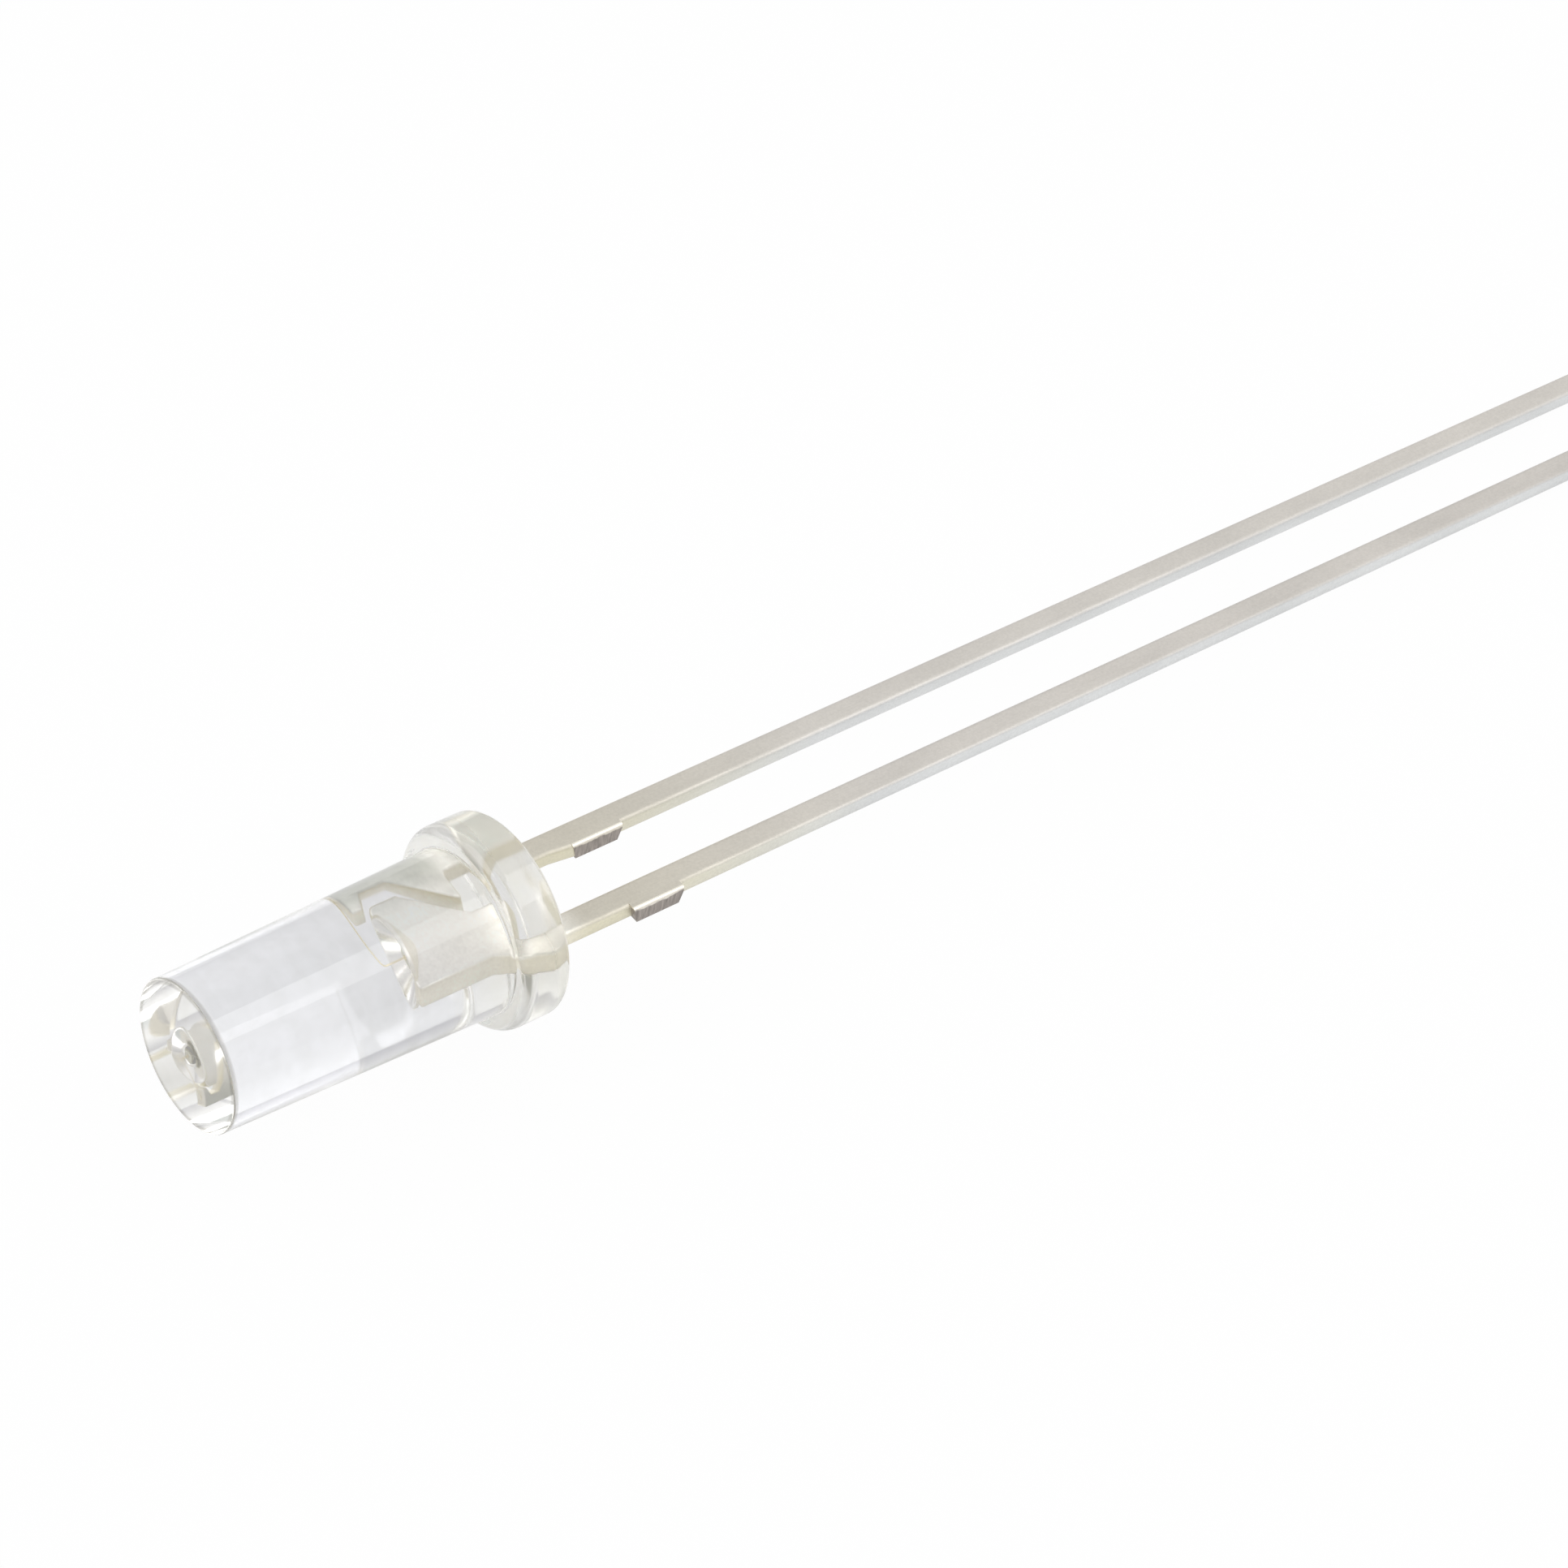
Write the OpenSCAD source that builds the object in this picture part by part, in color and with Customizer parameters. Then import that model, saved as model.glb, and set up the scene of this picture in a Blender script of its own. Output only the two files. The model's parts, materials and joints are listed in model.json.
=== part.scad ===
// Flat-topped through-hole LED lamp: a clear cast epoxy lens around a two-part
// stamped lead frame, a chip in a reflector cup and one bond wire.
// The lamp lies at rest on its flange and the tips of both leads.

/* [Lens] */
// Diameter of the flange
flange_d = 5.6; // [5.4:0.05:6.2]
// Thickness of the flange
flange_t = 1.35; // [1.1:0.05:1.8]
// Radius of the flange's corner on the barrel side
flange_front_r = 0.35; // [0.1:0.05:0.4]
// Radius of the flange's corner on the lead side
flange_back_r = 0.1; // [0.05:0.01:0.2]
// Diameter of the barrel where it meets the flange
barrel_root_d = 4.54; // [4.3:0.02:4.68]
// Diameter of the barrel at its flat tip
barrel_tip_d = 4.14; // [3.9:0.02:4.4]
// Height of the lens from the flange's seat to the flat tip
lens_h = 9.63; // [8:0.01:11]
// Chamfer around the flat tip
tip_chamfer = 0.05; // [0.02:0.01:0.15]

/* [Leads] */
// Distance between the centre lines of the two leads
lead_pitch = 2.54; // [2.3:0.02:2.8]
// Width of a lead, across the sheet
lead_w = 0.72; // [0.5:0.02:0.8]
// Thickness of the lead frame's sheet
sheet_t = 0.5; // [0.4:0.01:0.6]
// Length of the cathode lead below the seat
cathode_len = 40; // [12:0.5:44]
// How much longer the anode lead is
anode_extra = 2; // [0.5:0.1:3]
// Distance from the seat to the stubs of the cut dam bar
stub_start = 2.8; // [2.2:0.01:4]
// Length of a stub along its lead
stub_len = 1.63; // [1:0.01:2]
// How far the cathode's stub stands out of the lead
cathode_stub_out = 0.2; // [0.1:0.01:0.3]
// How far the anode's stub stands out of the lead
anode_stub_out = 0.12; // [0.08:0.01:0.3]
// How much a stub is shorter at each end of its lower face than of its upper one
stub_slant = 0.13; // [0.05:0.01:0.3]
// Length over which the anode lead widens towards its stub
flare_len = 0.8; // [0.4:0.05:0.85]

/* [Anvil] */
// Height of the cathode's anvil and of its cup's rim above the seat
anvil_h = 3.72; // [3.5:0.01:4.2]
// Distance from the axis to the anvil's outer edge
anvil_outer = 1; // [0.85:0.01:1.2]
// Distance from the axis to the anvil's inner top corner
anvil_inner = 0.9; // [0.7:0.01:1]
// Distance from the axis to the edge of the anvil's waist
anvil_waist = 0.12; // [0:0.01:0.2]
// Height where the anvil starts to slant out to its lead
anvil_shoulder_h = 1.5; // [1:0.05:1.9]
// Height of the anvil's base above the seat
anvil_base_h = 0.62; // [0.4:0.01:0.9]

/* [Cup] */
// Radius of the reflector cup's rim
cup_rim_r = 0.78; // [0.7:0.01:0.85]
// Width of the rim's flat land
cup_land = 0.07; // [0.04:0.01:0.12]
// Height of the rim's straight edge
cup_lip_h = 0.1; // [0.05:0.01:0.2]
// Depth of the cup
cup_depth = 0.42; // [0.35:0.01:0.5]
// Radius of the cup's floor
cup_floor_r = 0.32; // [0.28:0.01:0.4]
// Height of the flared body under the rim
cup_body_h = 0.6; // [0.55:0.01:0.9]

/* [Post] */
// How far the post stands above the anvil
post_rise = 0.38; // [0.3:0.01:0.5]
// Distance from the axis to the head of the post
post_head_in = 0.88; // [0.8:0.01:1]
// Distance from the axis to the neck of the post
post_neck_in = 1.14; // [1.1:0.01:1.25]
// Height of the post's flag where its slant starts
flag_top_h = 2.75; // [2.4:0.01:2.9]
// Height of the flag's lower edge above the seat
flag_base_h = 1.31; // [1:0.01:1.6]
// Distance from the axis to the flag's corner
flag_reach = 0.38; // [0.3:0.01:0.6]
// Gap between the post's flag and the anvil
frame_gap = 0.24; // [0.2:0.01:0.35]

/* [Chip and wire] */
// Side of the square chip
die_w = 0.3; // [0.2:0.01:0.36]
// Height of the chip
die_h = 0.18; // [0.1:0.01:0.22]
// Radius of the paste that holds the chip
paste_r = 0.24; // [0.2:0.01:0.27]
// Thickness of the paste
paste_t = 0.025; // [0.01:0.005:0.04]
// Diameter of the bond wire
wire_d = 0.03; // [0.025:0.001:0.05]
// Diameter of the ball where the wire starts on the chip
ball_d = 0.09; // [0.07:0.005:0.12]
// Height of the ball
ball_h = 0.04; // [0.03:0.005:0.06]
// How far the wire rises above the cup's rim before it bends
wire_rise = 0.34; // [0.3:0.01:0.45]
// Radius of the wire's bend over the chip
wire_bend_r = 0.12; // [0.08:0.01:0.2]
// Angle at which the wire climbs away from its bend
wire_climb = 16; // [10:0.5:20]
// Distance from the axis to the middle of the wedge bond on the post
wedge_y = 1.25; // [1.15:0.01:1.35]
// Length of the wedge bond
wedge_len = 0.12; // [0.08:0.01:0.16]

/* [Hidden] */
$fn = 64;
corner_steps = 5;
wire_sides = 8;
bend_steps = 5;
arc_steps = 16;

flange_r = flange_d / 2;
root_r = barrel_root_d / 2;
tip_r = barrel_tip_d / 2;
front_r = min(flange_front_r, flange_r - root_r, flange_t / 2);
back_r = min(flange_back_r, flange_t / 4);
anode_len = cathode_len + anode_extra;

lead_near = (lead_pitch - lead_w) / 2;
lead_far = (lead_pitch + lead_w) / 2;
stub_end = stub_start + stub_len;
flare_end = stub_start + stub_slant;
flare_start = flare_end - flare_len;
stamped_r = sheet_t / 5;
notch_r = sheet_t / 8;
post_h = anvil_h + post_rise;
cup_root_r = sheet_t / 3;

// The flag's slanted edge, and the anvil's edge that runs beside it
slant_top = [-flag_top_h, post_neck_in];
slant_base = [-flag_base_h, flag_reach];
slant_dir = (slant_base - slant_top) / norm(slant_base - slant_top);
gap_top = slant_top + frame_gap * [slant_dir[1], -slant_dir[0]];
function anvil_slant_x(y) = gap_top[0] + (y - gap_top[1]) * slant_dir[0] / slant_dir[1];

// The head of the post clears the anvil's top corner by the same gap
head_end = -anvil_h - frame_gap / 4;
neck_start = head_end + post_neck_in - post_head_in;

// Chip, paste and wire are stacked up from the cup's floor, towards the tip
cup_floor_h = anvil_h - cup_depth;
die_base_h = cup_floor_h + paste_t;
die_top_h = die_base_h + die_h;
wire_r = wire_d / 2;
bend_h = anvil_h + wire_rise;
arc_start = [wire_bend_r * (1 - sin(wire_climb)), bend_h + wire_bend_r * cos(wire_climb)];
arc_end = [wedge_y, post_h + wire_r];
arc_chord = arc_end - arc_start;
arc_fall = atan2(arc_chord[1], arc_chord[0]);
arc_half = wire_climb - arc_fall;
arc_r = norm(arc_chord) / (2 * sin(arc_half));
arc_centre = arc_start + arc_r * [sin(wire_climb), -cos(wire_climb)];
bend_stop = 90 + wire_climb;
arc_turn = -2 * arc_half;

// The rest pose: the flange and both lead tips touch the surface below
tip_rise = flange_r - sheet_t / 2;
roll_sine = tip_rise * anode_extra / (lead_near * cathode_len + lead_far * anode_len);
rest_roll = asin(roll_sine);
rest_tilt = atan((tip_rise + lead_near * roll_sine) / (anode_len + back_r));

// Rounds corner b of an outline with radius r, between its neighbours a and c
function corner_arc(a, b, c, r) =
    let (u = (a - b) / norm(a - b), v = (c - b) / norm(c - b))
    let (half = acos(u * v) / 2)
    let (mid = b + (u + v) / norm(u + v) * r / sin(half))
    let (from = b + u * r / tan(half) - mid, to = b + v * r / tan(half) - mid)
    let (start = atan2(from[1], from[0]))
    let (turn = atan2(from[0] * to[1] - from[1] * to[0], from * to))
    [for (i = [0 : corner_steps])
        let (angle = start + turn * i / corner_steps)
        mid + r * [cos(angle), sin(angle)]];

// An outline whose points are [x, y, corner radius]
function rounded(points) =
    let (n = len(points), at = [for (p = points) [p[0], p[1]]])
    [for (i = [0 : n - 1])
        each points[i][2] > 0
            ? corner_arc(at[(i + n - 1) % n], at[i], at[(i + 1) % n], points[i][2])
            : [at[i]]];

// Points on an arc of the wire's route, as [distance from the axis, height above the seat]
function arc_points(centre, r, start, turn, steps) =
    [for (i = [1 : steps]) centre + r * [cos(start + turn * i / steps), sin(start + turn * i / steps)]];

// The ring of the wire's skin at point i of its route
function wire_ring(route, i) =
    let (ahead = route[min(i + 1, len(route) - 1)] - route[max(i - 1, 0)])
    let (out = wire_r * [-ahead[1], ahead[0]] / norm(ahead))
    [for (k = [0 : wire_sides - 1])
        let (a = 360 * k / wire_sides, p = route[i] + out * cos(a))
        [-p[1], p[0], wire_r * sin(a)]];

module at_rest() {
    rotate([0, rest_tilt, 0]) rotate([rest_roll, 0, 0]) children();
}

// Turns a profile drawn as [radius, height above the seat] about the lamp's axis
module turned() {
    rotate([0, -90, 0]) rotate_extrude() children();
}

// Stamps an outline out of the sheet
module stamped(points) {
    linear_extrude(sheet_t, center = true) polygon(rounded(points));
}

// A stub of the cut dam bar, standing out of the lead edge at edge_y towards -Y
module stub(edge_y, out) {
    root = lead_w / 4;
    translate([0, edge_y + root, 0]) rotate([90, 0, 0]) linear_extrude(out + root) polygon([
        [stub_start, sheet_t / 2],
        [stub_start + stub_slant, -sheet_t / 2],
        [stub_end - stub_slant, -sheet_t / 2],
        [stub_end, sheet_t / 2]
    ]);
}

module flange_profile() {
    square([flange_r - max(front_r, back_r), flange_t]);
    square([flange_r - back_r, flange_t - front_r]);
    translate([0, back_r]) square([flange_r, flange_t - front_r - back_r]);
    translate([flange_r - front_r, flange_t - front_r]) circle(front_r);
    translate([flange_r - back_r, back_r]) circle(back_r);
}

module barrel_profile() {
    polygon([
        [0, 0],
        [root_r, 0],
        [root_r, flange_t],
        [tip_r, lens_h - tip_chamfer],
        [tip_r - tip_chamfer, lens_h],
        [0, lens_h]
    ]);
}

module cup_body() {
    turned() polygon([
        [0, anvil_h - cup_body_h],
        [cup_root_r, anvil_h - cup_body_h],
        [cup_rim_r, anvil_h - cup_lip_h],
        [cup_rim_r, anvil_h],
        [0, anvil_h]
    ]);
}

module cup_hollow() {
    rim = cup_rim_r - cup_land;
    wall_slope = (rim - cup_floor_r) / cup_depth;
    turned() polygon([
        [0, cup_floor_h],
        [cup_floor_r, cup_floor_h],
        [rim + wall_slope * cup_lip_h, anvil_h + cup_lip_h],
        [0, anvil_h + cup_lip_h]
    ]);
}

module cathode_metal() {
    difference() {
        union() {
            stamped([
                [cathode_len, -lead_far, 0],
                [0, -lead_far, 0],
                [-anvil_shoulder_h, -anvil_outer, 0],
                [-anvil_h, -anvil_outer, stamped_r],
                [-anvil_h, anvil_inner, 2 * stamped_r],
                [anvil_slant_x(anvil_inner), anvil_inner, stamped_r],
                [anvil_slant_x(anvil_waist), anvil_waist, stamped_r],
                [-anvil_base_h, anvil_waist, stamped_r],
                [-anvil_base_h, -lead_near, stamped_r],
                [cathode_len, -lead_near, 0]
            ]);
            stub(-lead_far, cathode_stub_out);
            cup_body();
        }
        cup_hollow();
    }
}

module anode_metal() {
    stamped([
        [anode_len, lead_far, 0],
        [-post_h, lead_far, stamped_r],
        [-post_h, post_head_in, notch_r],
        [head_end, post_head_in, notch_r],
        [neck_start, post_neck_in, notch_r],
        [-flag_top_h, post_neck_in, stamped_r],
        [-flag_base_h, flag_reach, notch_r],
        [-flag_base_h, lead_near, stamped_r],
        [flare_start, lead_near, 0],
        [flare_end, lead_near - anode_stub_out, 0],
        [flare_end, lead_near, 0],
        [anode_len, lead_near, 0]
    ]);
    stub(lead_near, anode_stub_out);
}

module chip() {
    translate([-die_base_h - die_h / 2, 0, 0]) cube([die_h, die_w, die_w], center = true);
}

module paste() {
    turned() translate([0, cup_floor_h]) square([paste_r, paste_t]);
}

module wire() {
    route = concat(
        [[0, die_top_h + ball_h / 2], [0, bend_h]],
        arc_points([wire_bend_r, bend_h], wire_bend_r, 180, bend_stop - 180, bend_steps),
        arc_points(arc_centre, arc_r, bend_stop, arc_turn, arc_steps)
    );
    last = len(route) - 1;
    sides = [for (k = [0 : wire_sides - 1]) k];
    skin = [
        for (i = [0 : last - 1], k = sides)
            let (a = i * wire_sides + k, b = i * wire_sides + (k + 1) % wire_sides)
            each [[a, b, b + wire_sides], [a, b + wire_sides, a + wire_sides]]
    ];
    start_cap = [for (k = sides) wire_sides - 1 - k];
    end_cap = [for (k = sides) last * wire_sides + k];
    polyhedron([for (i = [0 : last]) each wire_ring(route, i)], concat([start_cap], skin, [end_cap]));
    turned() translate([0, die_top_h]) square([ball_d / 2, ball_h]);
    translate([-post_h - wire_r, wedge_y, 0])
        cube([wire_d, wedge_len, 2 * wire_d], center = true);
}

module lens() {
    color([0.93, 0.94, 0.96, 0.35]) at_rest() difference() {
        turned() union() {
            flange_profile();
            barrel_profile();
        }
        cathode_metal();
        anode_metal();
        chip();
        paste();
        wire();
    }
}

module cathode_lead() {
    color([0.82, 0.81, 0.77]) at_rest() cathode_metal();
}

module anode_lead() {
    color([0.82, 0.81, 0.77]) at_rest() anode_metal();
}

module led_die() {
    color([0.42, 0.36, 0.3]) at_rest() chip();
}

module die_attach() {
    color([0.78, 0.78, 0.76]) at_rest() paste();
}

module bond_wire() {
    color([0.86, 0.66, 0.3]) at_rest() wire();
}

lens();
cathode_lead();
anode_lead();
led_die();
die_attach();
bond_wire();
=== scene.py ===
"""A clear, flat-topped LED lamp with long leads, lying on a pale table."""

import json
import math

import bmesh
import bpy
from bpy.props import FloatProperty, FloatVectorProperty, PointerProperty
from mathutils import Matrix, Vector


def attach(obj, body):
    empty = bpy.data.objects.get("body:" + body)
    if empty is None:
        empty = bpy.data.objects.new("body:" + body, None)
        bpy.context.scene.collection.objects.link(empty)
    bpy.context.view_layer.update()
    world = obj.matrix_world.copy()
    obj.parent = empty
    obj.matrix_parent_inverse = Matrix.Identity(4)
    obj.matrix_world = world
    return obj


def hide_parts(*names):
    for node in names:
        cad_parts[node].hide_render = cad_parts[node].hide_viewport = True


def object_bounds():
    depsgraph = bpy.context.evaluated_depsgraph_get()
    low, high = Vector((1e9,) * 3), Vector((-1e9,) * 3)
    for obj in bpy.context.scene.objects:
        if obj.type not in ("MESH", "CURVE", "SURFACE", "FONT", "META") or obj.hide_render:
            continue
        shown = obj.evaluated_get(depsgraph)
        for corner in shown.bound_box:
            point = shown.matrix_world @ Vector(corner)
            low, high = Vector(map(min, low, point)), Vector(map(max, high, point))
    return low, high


bl_info = {
    "name": "Clear LED Lamp",
    "version": (1, 0, 0),
    "blender": (4, 5, 0),
    "location": "View3D > Sidebar > LED",
    "description": "Builds a flat-topped through-hole LED lamp piece by piece",
    "category": "Add Mesh",
}

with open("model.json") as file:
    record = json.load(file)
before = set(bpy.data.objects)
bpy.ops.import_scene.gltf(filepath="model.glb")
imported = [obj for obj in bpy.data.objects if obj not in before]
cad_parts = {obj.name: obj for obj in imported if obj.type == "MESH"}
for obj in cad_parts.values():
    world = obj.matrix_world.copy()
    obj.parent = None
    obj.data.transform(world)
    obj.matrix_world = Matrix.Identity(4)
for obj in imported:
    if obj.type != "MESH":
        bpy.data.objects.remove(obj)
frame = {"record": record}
CAD_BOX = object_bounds()

MM = 0.001
TURNED_SIDES = 192  # sides of the round glass-clear pieces, where a facet would bend the light
CUP_SIDES = 96
CORNER_STEPS = 5
ARC_STEPS = 8
EDGE_STEPS = 5
EDGE_ANGLE = math.radians(35)  # outline corners sharper than this are edges, the others are bends
HOLD = 0.012 * MM  # a ring this close to a corner keeps the flat beside it flat in the shading
BARREL_TAPER = 0.02  # how much the barrel's radius shrinks for each unit of height
RIM_CHAMFER = 0.02 * MM  # at the outer edge of the cup's rim
LIP_ROUND = 0.03 * MM  # at the inner edge of the cup's rim
FLOOR_ROUND = 0.05 * MM  # where the cup's wall meets its floor
FACING = 0.9  # a normal's part along an axis, for faces that look that way
# Profiles of small turned pieces: shares of their radius or diameter, and of their height.
PASTE_SIDES, BALL_SIDES = 48, 24
PASTE_PROFILE = ((0.97, 0), (1, 0.3), (0.9, 0.8), (0.75, 1))
BALL_PROFILE = ((0.44, 0), (0.5, 0.3), (0.42, 0.75), (0.2, 1))
CHIP_BORDER, CHIP_HOLLOW = 0.06, 0.04  # around the chip's top: shares of its side and height
CHIP_BEVEL, WEDGE_BEVEL = 0.02, 0.15  # shares of the chip's side and of the wire's diameter
WEDGE_TOP = (1, 0.5, 0.6)  # how much smaller the upper face of the wedge bond is along each axis


# ---------------------------------------------------------------- settings

def length(name, description, mm):
    """A length that is written in millimetres and kept in metres."""
    return FloatProperty(
        name=name, description=description, default=mm * MM, unit="LENGTH", precision=5
    )


def colour(name, description, code):
    """A colour that is written as sRGB hex and kept linear."""
    return FloatVectorProperty(
        name=name, description=description, default=linear(code),
        subtype="COLOR", size=4, min=0, max=1,
    )


def linear(code):
    """sRGB hex to linear RGBA."""
    channels = [int(code[i : i + 2], 16) / 255 for i in (1, 3, 5)]
    return [c / 12.92 if c <= 0.04045 else ((c + 0.055) / 1.055) ** 2.4 for c in channels] + [1.0]


class LensSizes(bpy.types.PropertyGroup):
    flange_d: length("Flange diameter", "Diameter of the flange", 5.6)
    flange_t: length("Flange thickness", "Thickness of the flange", 1.35)
    front_r: length("Front corner", "Radius of the flange's corner on the barrel side", 0.35)
    back_r: length("Back corner", "Radius of the flange's corner on the lead side", 0.1)
    root_d: length("Barrel root", "Diameter of the barrel where it meets the flange", 4.54)
    tip_d: length("Barrel tip", "Diameter of the barrel at its flat tip", 4.14)
    height: length("Height", "From the seat to the flat tip", 9.63)
    tip_r: length("Tip edge", "Radius of the edge around the flat tip", 0.05)
    root_fillet: length("Root fillet", "Fillet where the barrel meets the flange", 0.08)


class LeadSizes(bpy.types.PropertyGroup):
    pitch: length("Pitch", "Distance between the leads' centre lines", 2.54)
    width: length("Width", "Width of a lead, across the sheet", 0.72)
    sheet: length("Sheet", "Thickness of the lead frame's sheet", 0.5)
    cathode: length("Cathode lead", "Length of the cathode lead below the seat", 40)
    anode: length("Anode lead", "Length of the anode lead below the seat", 42)
    edge_r: length("Edge", "Radius of the edges outside the lens, rounded by the tin", 0.15)
    inner_edge_r: length("Inner edge", "Radius of the stamped edges inside the lens", 0.06)
    stub_start: length("Stub start", "From the seat to the stubs of the cut dam bar", 2.8)
    stub_len: length("Stub length", "Length of a stub along its lead", 1.63)
    stub_slant: length("Stub slant", "How much shorter a stub's lower face is at each end", 0.13)
    cathode_stub: length("Cathode stub", "How far the cathode's stub stands out", 0.2)
    anode_stub: length("Anode stub", "How far the anode's stub stands out", 0.12)
    flare: length("Flare", "Length over which the anode lead widens towards its stub", 0.8)
    rollover: length("Rollover", "Radius of the edge where the shears came down on a stub", 0.12)


class FrameSizes(bpy.types.PropertyGroup):
    anvil_h: length("Anvil height", "Height of the anvil and the cup's rim above the seat", 3.72)
    anvil_outer: length("Anvil outer edge", "Distance from the axis to the outer edge", 1.0)
    anvil_inner: length("Anvil inner corner", "Distance from the axis to the inner top corner", 0.9)
    anvil_waist: length("Anvil waist", "Distance from the axis to the waist's edge", 0.12)
    shoulder_h: length("Anvil shoulder", "Height where the anvil slants out to its lead", 1.5)
    anvil_base_h: length("Anvil base", "Height of the anvil's base above the seat", 0.62)
    post_rise: length("Post rise", "How far the post stands above the anvil", 0.38)
    head_in: length("Post head", "Distance from the axis to the head of the post", 0.88)
    neck_in: length("Post neck", "Distance from the axis to the neck of the post", 1.14)
    flag_top_h: length("Flag top", "Height where the flag's slant starts", 2.75)
    flag_base_h: length("Flag base", "Height of the flag's lower edge", 1.31)
    flag_reach: length("Flag reach", "Distance from the axis to the flag's corner", 0.38)
    gap: length("Gap", "Gap between the flag and the anvil", 0.24)


class CupSizes(bpy.types.PropertyGroup):
    rim_r: length("Rim", "Radius of the cup's rim", 0.78)
    land: length("Land", "Width of the rim's flat land", 0.07)
    lip_h: length("Lip", "Height of the rim's straight edge", 0.1)
    depth: length("Depth", "Depth of the cup", 0.42)
    floor_r: length("Floor", "Radius of the cup's floor", 0.32)
    body_h: length("Body", "Height of the flared body under the rim", 0.6)


class ChipSizes(bpy.types.PropertyGroup):
    side: length("Side", "Side of the square chip", 0.3)
    height: length("Height", "Height of the chip", 0.18)
    paste_r: length("Paste radius", "Radius of the paste under the chip", 0.24)
    paste_t: length("Paste", "Thickness of the paste", 0.025)
    wire_d: length("Wire", "Diameter of the bond wire", 0.03)
    ball_d: length("Ball", "Diameter of the ball where the wire starts", 0.09)
    ball_h: length("Ball height", "Height of the ball", 0.04)
    wire_rise: length("Wire rise", "How far the wire rises above the cup before it bends", 0.34)
    bend_r: length("Wire bend", "Radius of the wire's bend over the chip", 0.12)
    wedge_y: length("Wedge", "Distance from the axis to the wedge bond", 1.25)
    wedge_len: length("Wedge length", "Length of the wedge bond", 0.12)
    climb: FloatProperty(
        name="Wire climb", description="Angle at which the wire leaves its bend",
        default=math.radians(16), unit="ROTATION",
    )


class FinishColours(bpy.types.PropertyGroup):
    epoxy: colour("Epoxy", "Clear cast epoxy, its yellow cancelled by faint lilac", "#fbfbfe")
    cloudy_epoxy: colour("Cloudy epoxy", "Where the cast skin is a little cloudy", "#f4f4f6")
    # painted shade: this grey on the rim around the flat tip stands in for the dark outline of the
    # rounded edge; the rim is as smooth as the flat tip
    rim_painted_shade: colour("Lens rim", "Edge around the flat tip, less polished", "#bab8b4")
    # painted reflection: this faint yellow in the flange stands in for warm light reflected from
    # the lead frame
    flange_warm_reflection: colour("Flange epoxy", "Epoxy that the bake yellowed faintly", "#fffdf5")
    plate: colour("Tinted tin", "Satin tin near the lens, tinted by the heat of the dip", "#d3cdc1")
    # painted light: the sides of the leads by the lens are painted lighter than their flat faces,
    # for how the light falls on them
    plate_side_lit: colour("Tinted tin, sides", "Sides of the leads by the lens", "#ebe6d1")
    tin: colour("Tin", "Satin tin on the flat faces of the leads", "#dad5cf")
    # painted light: the sides of the leads are painted lighter than their flat faces, for how the
    # light falls on them
    tin_side_lit: colour("Tin side", "Brighter tin on the sides of the leads", "#e7e8e8")
    bright_plate: colour("Silver spot", "Silver plate around the cup", "#fffcf6")
    dull_plate: colour("Dull plating", "Thin plate on the post, beside the silver spot", "#d4d4cb")
    # painted light: the stamped sides inside the lens keep the plate's warmer tone but are painted
    # near white to lift the shade they lie in
    cut_plate_lit: colour("Plated cut", "Plate on the stamped edges", "#fffaec")
    sheared: colour("Sheared edge", "Bare steel where the dam bar was cut", "#b0a8a2")
    # partly painted highlight: rubbed tin, painted near white for the glint on the rounded,
    # pulled-down edge
    rubbed: colour("Rubbed edge", "Tin pulled down and rubbed smooth by the shears", "#f4eee2")
    chip: colour("Chip", "Clear crystal with a thin grown film", "#fbf8e4")
    coined: colour("Coined cup", "Silver plate burnished by the punch", "#f7f5ef")
    paste: colour("Paste", "Silver-filled paste", "#c8c6c0")
    gold: colour("Gold", "Gold bond wire", "#efe3c4")
    table: colour("Table", "Pale table top", "#e6e6e6")


class StageSettings(bpy.types.PropertyGroup):
    camera_place: FloatVectorProperty(
        name="Camera", description="Place of the camera", size=3, subtype="TRANSLATION",
        default=(-53.73 * MM, -67.42 * MM, 88.81 * MM),
    )
    camera_aim: FloatVectorProperty(
        name="Aim", description="Point in the middle of the view", size=3, subtype="TRANSLATION",
        default=(6.81 * MM, -2.57 * MM, 2.86 * MM),
    )
    camera_roll: FloatProperty(
        name="Roll", description="Turn of the camera about its line of sight",
        default=math.radians(5.98), unit="ROTATION",
    )
    focal_length: FloatProperty(
        name="Focal length", description="Lens of the camera, in mm", default=111.8
    )
    room: colour("Room", "Light of the white room's walls", "#f4f4f4")
    horizon: colour("Horizon", "Light of the white room just above the table", "#bebec1")
    ceiling: colour("Ceiling", "Light of the white room overhead", "#c3c8c6")
    world_level: FloatProperty(
        name="Room level", description="Strength of the room's light", default=1.12
    )


class LampSettings(bpy.types.PropertyGroup):
    lens: PointerProperty(type=LensSizes, name="Lens", description="Sizes of the lens")
    leads: PointerProperty(type=LeadSizes, name="Leads", description="Sizes of the leads")
    frame: PointerProperty(type=FrameSizes, name="Frame", description="Sizes of anvil and post")
    cup: PointerProperty(type=CupSizes, name="Cup", description="Sizes of the reflector cup")
    chip: PointerProperty(type=ChipSizes, name="Chip", description="Sizes of the chip and its wire")
    colours: PointerProperty(type=FinishColours, name="Colours", description="Finish colours")
    stage: PointerProperty(type=StageSettings, name="Stage", description="Camera and light")


# ---------------------------------------------------------------- modelling

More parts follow.
